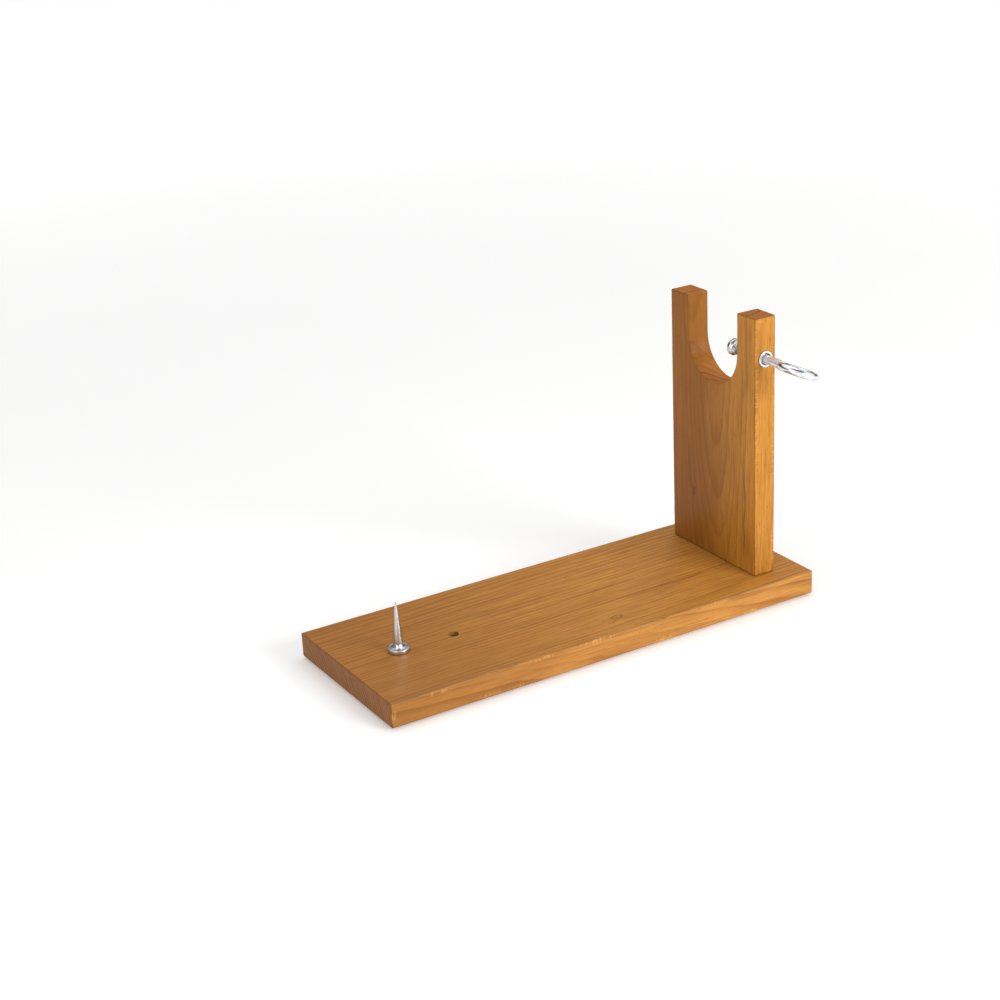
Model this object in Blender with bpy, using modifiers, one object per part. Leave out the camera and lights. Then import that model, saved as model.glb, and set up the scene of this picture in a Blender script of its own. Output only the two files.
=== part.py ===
"""Ham holder stand: a base board, an upright with a U-shaped notch for the hock, an eye bolt that
clamps the hock through a threaded insert, and a loose spike that holds the thick end of the ham.

Units are metres, +Z is up and the stand rests on Z = 0. +X runs along the base board towards the
upright, and the eye bolt comes in from the -Y side.
"""

from math import acos, atan2, cos, pi, radians, sin

import bmesh
import bpy

# Running gap between pieces that touch
GAP = 0.0003

# Base board
BOARD_LENGTH = 0.390
BOARD_WIDTH = 0.147
BOARD_THICKNESS = 0.020
EDGE_ROUND = 0.0009

# Anti-slip pads under the board
PAD_RADIUS = 0.008
PAD_THICKNESS = 0.0015
PAD_CHAMFER = 0.0003
PAD_INSET = 0.020

# Upright board
POST_THICKNESS = 0.020
POST_WIDTH = 0.110
POST_HEIGHT = 0.217
POST_X = 0.160
NOTCH_HALF_WIDTH = 0.032
CLAMP_HEIGHT = 0.1833  # bolt axis and centre of the notch's round bottom, above the board's top
NOTCH_SEGMENTS = 48

# Wood screws and dowels that join the boards
SCREW_OFFSET = 0.020
SCREW_LENGTH = 0.058
SCREW_HEAD_RADIUS = 0.0048
SCREW_HEAD_HEIGHT = 0.0032
SCREW_SHANK_RADIUS = 0.0019
SCREW_CREST_RADIUS = 0.0025
SCREW_ROOT_RADIUS = 0.0017
SCREW_PITCH = 0.0026
SCREW_TURNS = 13
SCREW_POINT = 0.0045
DRIVE_WIDTH = 0.0011
DRIVE_SPAN = 0.0048
DRIVE_DEPTH = 0.0026
DOWEL_OFFSET = 0.042
DOWEL_RADIUS = 0.004
DOWEL_LENGTH = 0.030
DOWEL_IN_BOARD = 0.011
DOWEL_CHAMFER = 0.0012
DOWEL_FLUTES = 16
FLUTE_DEPTH = 0.0004

# Eye bolt, M8, and the pressure pad that swivels on its ball end
THREAD_PITCH = 0.00125
THREAD_CREST_RADIUS = 0.0040
THREAD_ROOT_RADIUS = 0.0034
THREAD_TURNS = 25
THREAD_START = 0.0008  # outside the upright's front face
SHANK_RADIUS = 0.0036
SHANK_LENGTH = 0.023  # from the upright's front face to the eye
EYE_OUTER_RADIUS = 0.017
EYE_WIRE_RADIUS = 0.0032
EYE_TILT = radians(24.5)
EYE_ROOT_RADIUS = 0.00224  # the shank tapers to this inside the eye's wire
NECK_RADIUS = 0.0018
BALL_RADIUS = 0.0026
BALL_DEPTH = 0.0355  # ball centre, inside the upright's front face
PRESS_RADIUS = 0.0068
PRESS_COLLAR_RADIUS = 0.0052
PRESS_LENGTH = 0.0082
PRESS_MOUTH_RADIUS = 0.0023
PRESS_MOUTH_TO_BALL = 0.0033
SOCKET_RADIUS = 0.0030
SOCKET_DEPTH = 0.0062
SOCKET_LIP = 0.0009  # height of the narrow mouth that keeps the ball in
SOCKET_TAPER = 0.0013
PRESS_COLLAR_HEIGHT = 0.0033
PRESS_TAPER = 0.0015

# Threaded insert in the upright's front edge
FLANGE_RADIUS = 0.0065
FLANGE_THICKNESS = 0.0010
FLANGE_ROUND = 0.0003
INSERT_CREST_RADIUS = 0.0061
INSERT_ROOT_RADIUS = 0.0057
INSERT_PITCH = 0.0020
INSERT_TURNS = 7
INSERT_BORE_RADIUS = 0.0043
INSERT_HEX_RADIUS = 0.00535
INSERT_HEX_DEPTH = 0.0040
BOLT_PASSAGE_RADIUS = 0.0047

# Spike, and the two holes in the board that can take it
SPIKE_RADIUS = 0.0040
SPIKE_HOLES_X = (-0.148, -0.100)
SPIKE_HEIGHT = 0.038
SPIKE_TIP_RADIUS = 0.0004
SPIKE_WAIST_RADIUS = 0.0024
SPIKE_WAIST_HEIGHT = 0.0171
SPIKE_FOOT_HEIGHT = 0.0008
SPIKE_STEM = 0.0180
SPIKE_COLLAR_RADIUS = 0.0085
SPIKE_COLLAR_HEIGHT = 0.0030

ROUND_STEPS = 24
THREAD_STEPS = 16
EYE_STEPS = 36
FINE_STEPS = 16
BALL_STEPS = 7

# The board sits off-centre in Y, so that the origin is the middle of the stand's whole footprint
BOLT_REACH = SHANK_LENGTH + 2 * EYE_OUTER_RADIUS
BOARD_Y = (POST_WIDTH / 2 + BOLT_REACH - BOARD_WIDTH / 2) / 2
BOARD_BOTTOM = PAD_THICKNESS + GAP
BOARD_TOP = BOARD_BOTTOM + BOARD_THICKNESS
POST_BOTTOM = BOARD_TOP + GAP
POST_TOP = BOARD_TOP + POST_HEIGHT
POST_FRONT_Y = BOARD_Y - POST_WIDTH / 2
CLAMP_Z = BOARD_TOP + CLAMP_HEIGHT

SHARP_ANGLE = radians(32)
BEVEL_ANGLE = radians(40)
MERGE = 0.00001

# Colours as linear RGB, with roughness and metallic
WOOD_BOARD = ((0.47, 0.21, 0.055), 0.42, 0.0)
WOOD_POST = ((0.50, 0.22, 0.060), 0.42, 0.0)
BEECH = ((0.62, 0.42, 0.22), 0.60, 0.0)
ZINC = ((0.78, 0.79, 0.80), 0.18, 1.0)
SCREW_STEEL = ((0.72, 0.66, 0.45), 0.30, 1.0)
STAINLESS = ((0.66, 0.66, 0.67), 0.25, 1.0)
RUBBER = ((0.03, 0.03, 0.03), 0.75, 0.0)


def clear_scene():
    """Remove every object, so that the model starts from an empty scene."""
    for old in list(bpy.data.objects):
        bpy.data.objects.remove(old, do_unlink=True)


def new_collection(name):
    """Add a collection to the scene."""
    collection = bpy.data.collections.new(name)
    bpy.context.scene.collection.children.link(collection)
    return collection


def make_material(name, look):
    """Principled material from a (colour, roughness, metallic) triple."""
    colour, roughness, metallic = look
    material = bpy.data.materials.new(name)
    material.use_nodes = True
    shader = material.node_tree.nodes["Principled BSDF"]
    shader.inputs["Base Color"].default_value = (*colour, 1.0)
    shader.inputs["Roughness"].default_value = roughness
    shader.inputs["Metallic"].default_value = metallic
    material.diffuse_color = (*colour, 1.0)
    return material


def add_object(name, mesh, look=None):
    """Add a mesh as a part, or as a hidden cutter when it has no look."""
    added = bpy.data.objects.new(name, mesh)
    if look is None:
        CUTTERS.objects.link(added)
        added.hide_render = True
        added.display_type = "WIRE"
    else:
        PARTS.objects.link(added)
        added.data.materials.append(make_material(name, look))
    return added


def box_mesh(name, size):
    """Box of the given size, centred on its own origin."""
    mesh = bpy.data.meshes.new(name)
    shape = bmesh.new()
    bmesh.ops.create_cube(shape, size=1.0)
    bmesh.ops.scale(shape, vec=size, verts=shape.verts)
    shape.to_mesh(mesh)
    shape.free()
    return mesh


def cylinder_mesh(name, radius, length, steps, smooth=True):
    """Cylinder along its own Z axis, centred on its origin."""
    mesh = bpy.data.meshes.new(name)
    shape = bmesh.new()
    bmesh.ops.create_cone(
        shape, cap_ends=True, segments=steps, radius1=radius, radius2=radius, depth=length
    )
    shape.to_mesh(mesh)
    shape.free()
    if smooth:
        mesh.shade_smooth()
        mesh.set_sharp_from_angle(angle=SHARP_ANGLE)
    return mesh


def turned(name, profile, steps, look=None, ring=False):
    """Turn a profile of (radius, height) points about Z. The points run down the outer side, from
    top to bottom. A ring's profile is closed, and any other starts and ends on the axis."""
    mesh = bpy.data.meshes.new(name)
    shape = bmesh.new()
    points = [shape.verts.new((radius, 0, height)) for radius, height in profile]
    for above, below in zip(points, points[1:]):
        shape.edges.new((above, below))
    if ring:
        shape.edges.new((points[-1], points[0]))
    shape.to_mesh(mesh)
    shape.free()
    piece = add_object(name, mesh, look)
    screw = piece.modifiers.new("Turn", "SCREW")
    screw.axis = "Z"
    screw.angle = 2 * pi
    screw.steps = steps
    screw.render_steps = steps
    screw.use_merge_vertices = True
    screw.merge_threshold = MERGE
    screw.use_smooth_shade = True
    return piece


def thread_ridges(top, turns, pitch, root, crest):
    """Profile points down one stretch of thread, a ridge for each turn."""
    ridges = [(root, top)]
    for turn in range(turns):
        ridges.append((crest, top - (turn + 0.5) * pitch))
        ridges.append((root, top - (turn + 1.0) * pitch))
    return ridges


def arc_points(centre, radius, start, end, steps):
    """Points of an arc about (0, centre), from one angle to another, measured from the +X axis."""
    angles = [start + (end - start) * step / steps for step in range(steps + 1)]
    return [(radius * cos(angle), centre + radius * sin(angle)) for angle in angles]


def boolean(piece, other, operation="DIFFERENCE"):
    """Cut the piece with another object, or join them."""
    modifier = piece.modifiers.new(operation.title(), "BOOLEAN")
    modifier.operation = operation
    modifier.solver = "EXACT"
    modifier.object = other


def ease_edges(piece, width, segments=2):
    """Round a piece's sharp edges."""
    bevel = piece.modifiers.new("Eased edges", "BEVEL")
    bevel.width = width
    bevel.segments = segments
    bevel.limit_method = "ANGLE"
    bevel.angle_limit = BEVEL_ANGLE


def base_board():
    """The board that everything stands on."""
    board = add_object(
        "base_board",
        box_mesh("base_board", (BOARD_LENGTH, BOARD_WIDTH, BOARD_THICKNESS)),
        WOOD_BOARD,
    )
    board.location = (0, BOARD_Y, BOARD_BOTTOM + BOARD_THICKNESS / 2)
    ease_edges(board, EDGE_ROUND)
    for number, hole_x in enumerate(SPIKE_HOLES_X, 1):
        mesh = cylinder_mesh(
            f"spike_hole_{number}", SPIKE_RADIUS + GAP, 2 * BOARD_THICKNESS, ROUND_STEPS
        )
        hole = add_object(f"spike_hole_{number}", mesh)
        hole.location = (hole_x, BOARD_Y, board.location.z)
        boolean(board, hole)
    return board


def upright_board():
    """The upright, notched at the top and bored through one arm for the clamp."""
    height = POST_TOP - POST_BOTTOM
    post = add_object(
        "upright_board",
        box_mesh("upright_board", (POST_THICKNESS, POST_WIDTH, height)),
        WOOD_POST,
    )
    post.location = (POST_X, BOARD_Y, POST_BOTTOM + height / 2)

    notch_length = 2 * POST_THICKNESS
    round_mesh = cylinder_mesh("notch_round", NOTCH_HALF_WIDTH, notch_length, NOTCH_SEGMENTS)
    notch_round = add_object("notch_round", round_mesh)
    notch_round.location = (POST_X, BOARD_Y, CLAMP_Z)
    notch_round.rotation_euler = (0, pi / 2, 0)
    boolean(post, notch_round)

    mouth_height = 2 * (POST_TOP - CLAMP_Z)
    mouth_size = (notch_length, 2 * NOTCH_HALF_WIDTH, mouth_height)
    notch_mouth = add_object("notch_mouth", box_mesh("notch_mouth", mouth_size))
    notch_mouth.location = (POST_X, BOARD_Y, CLAMP_Z + mouth_height / 2)
    boolean(post, notch_mouth)
    ease_edges(post, EDGE_ROUND)

    insert_room = INSERT_CREST_RADIUS + GAP
    insert_depth = INSERT_PITCH * INSERT_TURNS + 4 * GAP
    arm = POST_WIDTH / 2 - NOTCH_HALF_WIDTH
    bore_profile = [
        (0, insert_room),
        (insert_room, insert_room),
        (insert_room, -insert_depth),
        (BOLT_PASSAGE_RADIUS, -insert_depth),
        (BOLT_PASSAGE_RADIUS, -arm - insert_room),
        (0, -arm - insert_room),
    ]
    bore = turned("clamp_bore", bore_profile, ROUND_STEPS)
    face_the_clamp(bore)
    boolean(post, bore)
    return post


def face_the_clamp(piece):
    """Put a turned piece on the bolt's axis. Its own +Z then points out of the front edge, and its
    origin lies on that edge."""
    piece.location = (POST_X, POST_FRONT_Y, CLAMP_Z)
    piece.rotation_euler = (pi / 2, 0, 0)


def join_boards(board, post):
    """Screws and dowels from the board into the upright, and the holes that they fill."""
    for number, side in enumerate((-1, 1), 1):
        screw_y = BOARD_Y + side * SCREW_OFFSET
        hole = turned(f"screw_hole_{number}", screw_profile(GAP, FINE_STEPS), FINE_STEPS)
        hole.location = (POST_X, screw_y, BOARD_BOTTOM)
        boolean(board, hole)
        boolean(post, hole)
        wood_screw(f"wood_screw_{number}", screw_y)

        dowel_y = BOARD_Y + side * DOWEL_OFFSET
        dowel_z = BOARD_TOP - DOWEL_IN_BOARD + DOWEL_LENGTH / 2
        dowel_hole = cylinder_mesh(
            f"dowel_hole_{number}", DOWEL_RADIUS + GAP, DOWEL_LENGTH + 2 * GAP, ROUND_STEPS
        )
        hole = add_object(f"dowel_hole_{number}", dowel_hole)
        hole.location = (POST_X, dowel_y, dowel_z)
        boolean(board, hole)
        boolean(post, hole)
        dowel(f"dowel_{number}", dowel_y, dowel_z)


def screw_profile(room, steps):
    """Outline of a wood screw with its head down: the screw itself, or its hole when there is room
    around it."""
    if room:
        shaft = (SCREW_CREST_RADIUS + room) / cos(pi / steps)
        head = SCREW_HEAD_RADIUS + room
        return [
            (0, SCREW_LENGTH + room),
            (shaft, SCREW_LENGTH + room),
            (shaft, SCREW_HEAD_HEIGHT + 2 * room),
            (head, 2 * room),
            (head, -SCREW_HEAD_HEIGHT),
            (0, -SCREW_HEAD_HEIGHT),
        ]
    thread_top = SCREW_LENGTH - SCREW_POINT
    thread_bottom = thread_top - SCREW_TURNS * SCREW_PITCH
    ridges = thread_ridges(
        thread_top, SCREW_TURNS, SCREW_PITCH, SCREW_ROOT_RADIUS, SCREW_CREST_RADIUS
    )
    return [
        (0, SCREW_LENGTH),
        *ridges,
        (SCREW_SHANK_RADIUS, thread_bottom - SCREW_PITCH / 2),
        (SCREW_SHANK_RADIUS, SCREW_HEAD_HEIGHT + GAP),
        (SCREW_HEAD_RADIUS, 2 * GAP),
        (SCREW_HEAD_RADIUS, 0),
        (0, 0),
    ]


def wood_screw(name, screw_y):
    """Countersunk wood screw with a cross recess, driven up through the board."""
    screw = turned(name, screw_profile(0, FINE_STEPS), FINE_STEPS, SCREW_STEEL)
    screw.location = (POST_X, screw_y, BOARD_BOTTOM)
    for number, turn in enumerate((pi / 4, 3 * pi / 4), 1):
        slot_name = f"{name}_slot_{number}"
        slot_size = (DRIVE_SPAN, DRIVE_WIDTH, 2 * DRIVE_DEPTH)
        slot = add_object(slot_name, box_mesh(slot_name, slot_size))
        slot.location = screw.location
        slot.rotation_euler = (0, 0, turn)
        boolean(screw, slot)


def dowel(name, dowel_y, dowel_z):
    """Fluted wooden dowel, upright across the joint."""
    mesh = bpy.data.meshes.new(name)
    shape = bmesh.new()
    bmesh.ops.create_cone(
        shape,
        cap_ends=True,
        segments=2 * DOWEL_FLUTES,
        radius1=DOWEL_RADIUS,
        radius2=DOWEL_RADIUS,
        depth=DOWEL_LENGTH - 2 * DOWEL_CHAMFER,
    )
    for vertex in shape.verts:
        line = round(atan2(vertex.co.y, vertex.co.x) * DOWEL_FLUTES / pi)
        if line % 2:
            vertex.co.xy *= 1 - FLUTE_DEPTH / DOWEL_RADIUS
    ends = [face for face in shape.faces if abs(face.normal.z) > 0.5]
    for end in ends:
        bmesh.ops.inset_region(shape, faces=[end], thickness=DOWEL_CHAMFER, depth=DOWEL_CHAMFER)
    shape.to_mesh(mesh)
    shape.free()
    piece = add_object(name, mesh, BEECH)
    piece.location = (POST_X, dowel_y, dowel_z)


def threaded_insert():
    """Flanged steel insert with a hexagon drive, screwed into the upright's front edge."""
    body_top = GAP
    flange_top = body_top + FLANGE_THICKNESS
    body_bottom = body_top - INSERT_PITCH * INSERT_TURNS
    ridges = thread_ridges(
        body_top, INSERT_TURNS, INSERT_PITCH, INSERT_ROOT_RADIUS, INSERT_CREST_RADIUS
    )
    profile = [
        (INSERT_BORE_RADIUS, flange_top),
        (FLANGE_RADIUS - FLANGE_ROUND, flange_top),
        (FLANGE_RADIUS, flange_top - FLANGE_ROUND),
        (FLANGE_RADIUS, body_top),
        *ridges,
        (INSERT_BORE_RADIUS, body_bottom),
    ]
    insert = turned("threaded_insert", profile, ROUND_STEPS, ZINC, ring=True)
    face_the_clamp(insert)

    hexagon = cylinder_mesh("insert_hexagon", INSERT_HEX_RADIUS, 2 * INSERT_HEX_DEPTH, 6, smooth=False)
    drive = add_object("insert_drive", hexagon)
    face_the_clamp(drive)
    drive.location.y -= flange_top
    boolean(insert, drive)


def eye_bolt():
    """Bolt with a plain shank, a thread, a ball end and a closed eye to turn it by."""
    eye_centre = SHANK_LENGTH + EYE_OUTER_RADIUS
    wire_centre = SHANK_LENGTH + EYE_WIRE_RADIUS
    thread_end = THREAD_START - THREAD_TURNS * THREAD_PITCH
    neck_angle = acos(NECK_RADIUS / BALL_RADIUS)
    ball = arc_points(-BALL_DEPTH, BALL_RADIUS, neck_angle, -pi / 2, BALL_STEPS)
    profile = [
        (0, wire_centre),
        (EYE_ROOT_RADIUS, wire_centre),
        (SHANK_RADIUS, SHANK_LENGTH - EYE_WIRE_RADIUS / 2),
        (SHANK_RADIUS, THREAD_START + THREAD_PITCH / 2),
        *thread_ridges(
            THREAD_START, THREAD_TURNS, THREAD_PITCH, THREAD_ROOT_RADIUS, THREAD_CREST_RADIUS
        ),
        (NECK_RADIUS, thread_end - THREAD_PITCH),
        *ball[:-1],
        (0, ball[-1][1]),
    ]
    bolt = turned("eye_bolt", profile, THREAD_STEPS, ZINC)
    face_the_clamp(bolt)
    bolt.rotation_euler.y = EYE_TILT

    bpy.ops.mesh.primitive_torus_add(
        major_segments=EYE_STEPS,
        minor_segments=EYE_STEPS // 3,
        major_radius=EYE_OUTER_RADIUS - EYE_WIRE_RADIUS,
        minor_radius=EYE_WIRE_RADIUS,
    )
    torus = bpy.context.active_object
    eye = add_object("eye_ring", torus.data)
    bpy.data.objects.remove(torus)
    eye.data.shade_smooth()
    eye.parent = bolt
    eye.location = (0, 0, eye_centre)
    eye.rotation_euler = (pi / 2, 0, 0)
    boolean(bolt, eye, "UNION")


def pressure_pad():
    """Cup that swivels on the bolt's ball end and presses on the hock without turning."""
    mouth = PRESS_MOUTH_TO_BALL - BALL_DEPTH
    face = mouth - PRESS_LENGTH
    profile = [
        (0, mouth - SOCKET_DEPTH),
        (SOCKET_RADIUS, mouth - SOCKET_DEPTH),
        (SOCKET_RADIUS, mouth - SOCKET_LIP - SOCKET_TAPER),
        (PRESS_MOUTH_RADIUS, mouth - SOCKET_LIP),
        (PRESS_MOUTH_RADIUS, mouth),
        (PRESS_COLLAR_RADIUS - GAP, mouth),
        (PRESS_COLLAR_RADIUS, mouth - GAP),
        (PRESS_COLLAR_RADIUS, mouth - PRESS_COLLAR_HEIGHT),
        (PRESS_RADIUS, mouth - PRESS_COLLAR_HEIGHT - PRESS_TAPER),
        (PRESS_RADIUS, face + 2 * GAP),
        (PRESS_RADIUS - 2 * GAP, face),
        (0, face),
    ]
    pad = turned("pressure_pad", profile, ROUND_STEPS, STAINLESS)
    face_the_clamp(pad)


def spike():
    """Turned steel spike. Its stem drops into either hole, and its collar rests on the board."""
    collar_bottom = GAP
    collar_top = collar_bottom + SPIKE_COLLAR_HEIGHT
    tip = collar_top + SPIKE_HEIGHT
    profile = [
        (0, tip),
        (SPIKE_TIP_RADIUS, tip - SPIKE_TIP_RADIUS),
        (SPIKE_WAIST_RADIUS, collar_top + SPIKE_WAIST_HEIGHT),
        (SPIKE_RADIUS, collar_top + SPIKE_FOOT_HEIGHT),
        (SPIKE_RADIUS, collar_top),
        (SPIKE_COLLAR_RADIUS - 2 * GAP, collar_top),
        (SPIKE_COLLAR_RADIUS, collar_top - 2 * GAP),
        (SPIKE_COLLAR_RADIUS, collar_bottom),
        (SPIKE_RADIUS, collar_bottom),
        (SPIKE_RADIUS, -SPIKE_STEM + 2 * GAP),
        (SPIKE_RADIUS - 2 * GAP, -SPIKE_STEM),
        (0, -SPIKE_STEM),
    ]
    piece = turned("ham_spike", profile, ROUND_STEPS, STAINLESS)
    piece.location = (SPIKE_HOLES_X[0], BOARD_Y, BOARD_TOP)


def anti_slip_pads():
    """Four thin discs under the board's corners."""
    profile = [
        (0, PAD_THICKNESS),
        (PAD_RADIUS, PAD_THICKNESS),
        (PAD_RADIUS, PAD_CHAMFER),
        (PAD_RADIUS - PAD_CHAMFER, 0),
        (0, 0),
    ]
    reach_x = BOARD_LENGTH / 2 - PAD_INSET
    reach_y = BOARD_WIDTH / 2 - PAD_INSET
    corners = {
        "front_left": (-reach_x, -reach_y),
        "front_right": (reach_x, -reach_y),
        "back_left": (-reach_x, reach_y),
        "back_right": (reach_x, reach_y),
    }
    for corner, (pad_x, pad_y) in corners.items():
        pad = turned(f"anti_slip_pad_{corner}", profile, ROUND_STEPS, RUBBER)
        pad.location = (pad_x, BOARD_Y + pad_y, 0)


clear_scene()
PARTS = new_collection("ham_holder_stand")
CUTTERS = new_collection("cutters")
join_boards(base_board(), upright_board())
threaded_insert()
eye_bolt()
pressure_pad()
spike()
anti_slip_pads()
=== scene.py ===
"""Looks of the ham holder stand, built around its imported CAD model.

Lengths are in metres, and in millimetres in the shaders and the turned profiles. +X runs along the
base board towards the upright, +Z is up, and the eye bolt comes in from the -Y side.
"""

from math import cos, pi, radians, sin

import bmesh
import bpy
from mathutils import Matrix, Vector


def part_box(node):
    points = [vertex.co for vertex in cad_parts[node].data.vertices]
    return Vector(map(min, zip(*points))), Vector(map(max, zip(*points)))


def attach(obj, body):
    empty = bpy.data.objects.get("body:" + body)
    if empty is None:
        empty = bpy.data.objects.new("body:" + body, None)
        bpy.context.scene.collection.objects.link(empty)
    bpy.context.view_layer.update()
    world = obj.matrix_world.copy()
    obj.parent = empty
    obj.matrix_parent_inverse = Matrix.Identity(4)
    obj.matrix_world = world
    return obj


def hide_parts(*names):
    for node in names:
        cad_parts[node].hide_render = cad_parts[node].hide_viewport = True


MM = 0.001

# Camera: azimuth and elevation round the point it looks at, then roll about its own axis
AIM = Vector((-0.05244, 0.01925, 0.12190))
DISTANCE = 1.54154
AZIMUTH = radians(-30.278)
ELEVATION = radians(22.200)
ROLL = radians(-2.793)
LENS = 72.50
SENSOR = 36.0
NEAREST, FARTHEST = 0.05, 60.0

# Finishes of the metal pieces and the floor, as linear colours
ZINC = (0.76, 0.80, 0.84)
BOLT_ZINC = (0.78, 0.81, 0.84)
STEEL = (0.62, 0.62, 0.63)
YELLOW_ZINC = (0.74, 0.62, 0.36)
FLOOR_COLOURS = (0.86, 0.86, 0.855), (0.89, 0.89, 0.885)
FLOOR_REACH = 14.0  # from the middle to each side, in metres

# Clamp, in millimetres: heights are measured out from the upright's front face
PITCH = 1.25
THREAD_TOP, THREAD_BOTTOM = 0.8, -30.45
BOLT_ROOT, BOLT_CREST = 3.4, 3.98
SHANK = 3.6
NECK = 1.8
BALL = 2.6
EYE_RADIUS, WIRE = 17.0, 3.2
EYE_TILT = radians(24.5)
EYE_STEPS, WIRE_STEPS = 128, 40
FLANGE = 6.5
FLANGE_UNDER = 0.3
INSERT_ROOT, INSERT_CREST, INSERT_PITCH = 5.7, 6.08, 2.0
BORE_ROOT, BORE_CREST = 4.3, 4.12
DRIVE_HALF_WIDTH, DRIVE_EASING, DRIVE_CHAMFER, DRIVE_DEPTH = 4.62, 0.06, 0.22, 4.0
PAD_COLLAR, PAD_FACE, PAD_SOCKET = 5.2, 6.8, 3.0

# Spike, in millimetres: heights are above the base board
SPIKE_STEM = 4.0
COLLAR = 8.5
COLLAR_LOW, COLLAR_HIGH = 0.3, 3.3

# Wood screws, in millimetres: heights are above the face of the head
SCREW_ROOT, SCREW_CREST, SCREW_PITCH, SCREW_SHANK = 1.7, 2.48, 2.6, 1.9
SCREW_THREAD_START, SCREW_THREAD_END = 39.5, 3.2  # short of the tip
BLADE_LENGTH, BLADE_WIDTH, BLADE_DEPTH, BLADE_TAPER = 5.6, 1.15, 5.2, 0.42

# Thread form: the flat at the root and the flank, as shares of half a pitch
ROOT_FLAT, FLANK = 0.12, 0.74

# Edges sharper than this are shaded sharp, on a mesh cut by another and on a turned one
CUT_CREASE = radians(35)
TURNED_CREASE = radians(38)

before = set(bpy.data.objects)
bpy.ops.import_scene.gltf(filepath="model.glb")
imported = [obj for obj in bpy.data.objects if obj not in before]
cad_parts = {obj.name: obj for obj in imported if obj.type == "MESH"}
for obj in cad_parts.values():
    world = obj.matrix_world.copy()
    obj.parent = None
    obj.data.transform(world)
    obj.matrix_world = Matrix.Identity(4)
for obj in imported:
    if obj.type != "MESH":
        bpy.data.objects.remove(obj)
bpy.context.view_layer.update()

base_low, base_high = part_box("base_board")
post_low, post_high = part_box("upright_board")
insert_low, insert_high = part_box("threaded_insert")
bolt_low, bolt_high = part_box("eye_bolt")
press_low, press_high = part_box("pressure_pad")
spike_low, spike_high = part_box("ham_spike")

POST_X = (post_low.x + post_high.x) / 2
CLAMP_Z = (insert_low.z + insert_high.z) / 2
FRONT_Y = post_low.y


# ---------------------------------------------------------------- shader nodes


def scaled(colour, factor):
    """A colour made lighter or darker."""
    return tuple(value * factor for value in colour)


class Nodes:
    """A node tree, and short calls that add and link its nodes."""

    # Colour sockets of a Mix node
    MIX_FIRST, MIX_SECOND, MIX_RESULT = 6, 7, 2

    def __init__(self, tree):
        self.tree = tree

    def add(self, kind, **settings):
        made = self.tree.nodes.new(kind)
        for key, value in settings.items():
            setattr(made, key, value)
        return made

    def feed(self, socket, value):
        """Link an output to a socket, or set the socket to a value."""
        if isinstance(value, bpy.types.NodeSocket):
            self.tree.links.new(value, socket)
        elif isinstance(value, tuple) and len(value) == 3 and socket.type == "RGBA":
            socket.default_value = (*value, 1.0)
        else:
            socket.default_value = value

    def feed_all(self, made, values):
        """Feed a node's first inputs, and return its first output."""
        for socket, value in zip(made.inputs, values):
            self.feed(socket, value)
        return made.outputs[0]

    def math(self, operation, *values):
        return self.feed_all(self.add("ShaderNodeMath", operation=operation), values)

    def combine(self, x, y, z):
        return self.feed_all(self.add("ShaderNodeCombineXYZ"), (x, y, z))

    def split(self, vector):
        made = self.add("ShaderNodeSeparateXYZ")
        self.feed(made.inputs[0], vector)
        return made.outputs[0], made.outputs[1], made.outputs[2]

    def stretch(self, place, scales):
        """A place scaled by its own factor along each axis."""
        return self.combine(*(self.math("MULTIPLY", *pair) for pair in zip(place, scales)))

    def centred(self, value):
        """A noise value moved to lie round nought."""
        return self.math("SUBTRACT", value, 0.5)

    def apart(self, value, other):
        """How far two values are apart."""
        return self.math("ABSOLUTE", self.math("SUBTRACT", value, other))

    def hypotenuse(self, first, second):
        squares = self.math("MULTIPLY_ADD", first, first, self.math("MULTIPLY", second, second))
        return self.math("SQRT", squares)

    def noise(self, vector, scale=1.0, detail=2.0, roughness=0.5):
        made = self.add("ShaderNodeTexNoise")
        self.feed(made.inputs["Vector"], vector)
        made.inputs["Scale"].default_value = scale
        made.inputs["Detail"].default_value = detail
        made.inputs["Roughness"].default_value = roughness
        return made.outputs["Fac"]

    def ranged(self, value, low, high, to_low=0.0, to_high=1.0, smooth=True):
        """A value carried from one range to another, and held at its ends."""
        made = self.add("ShaderNodeMapRange", clamp=True)
        made.interpolation_type = "SMOOTHSTEP" if smooth else "LINEAR"
        return self.feed_all(made, (value, low, high, to_low, to_high))

    def ramp(self, value, stops):
        """A grey for each value, from stops of position and tone."""
        made = self.add("ShaderNodeValToRGB")
        elements = made.color_ramp.elements
        while len(elements) < len(stops):
            elements.new(0.5)
        for element, (position, tone) in zip(elements, stops):
            element.position = position
            element.color = (tone, tone, tone, 1.0)
        return self.feed_all(made, (value,))

    def mix(self, share, first, second, blend="MIX"):
        made = self.add("ShaderNodeMix", data_type="RGBA", blend_type=blend)
        self.feed(made.inputs[0], share)
        self.feed(made.inputs[self.MIX_FIRST], first)
        self.feed(made.inputs[self.MIX_SECOND], second)
        return made.outputs[self.MIX_RESULT]

    def toned(self, colour, tone):
        """A colour times a grey."""
        return self.mix(1.0, colour, self.combine(tone, tone, tone), "MULTIPLY")


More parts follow.
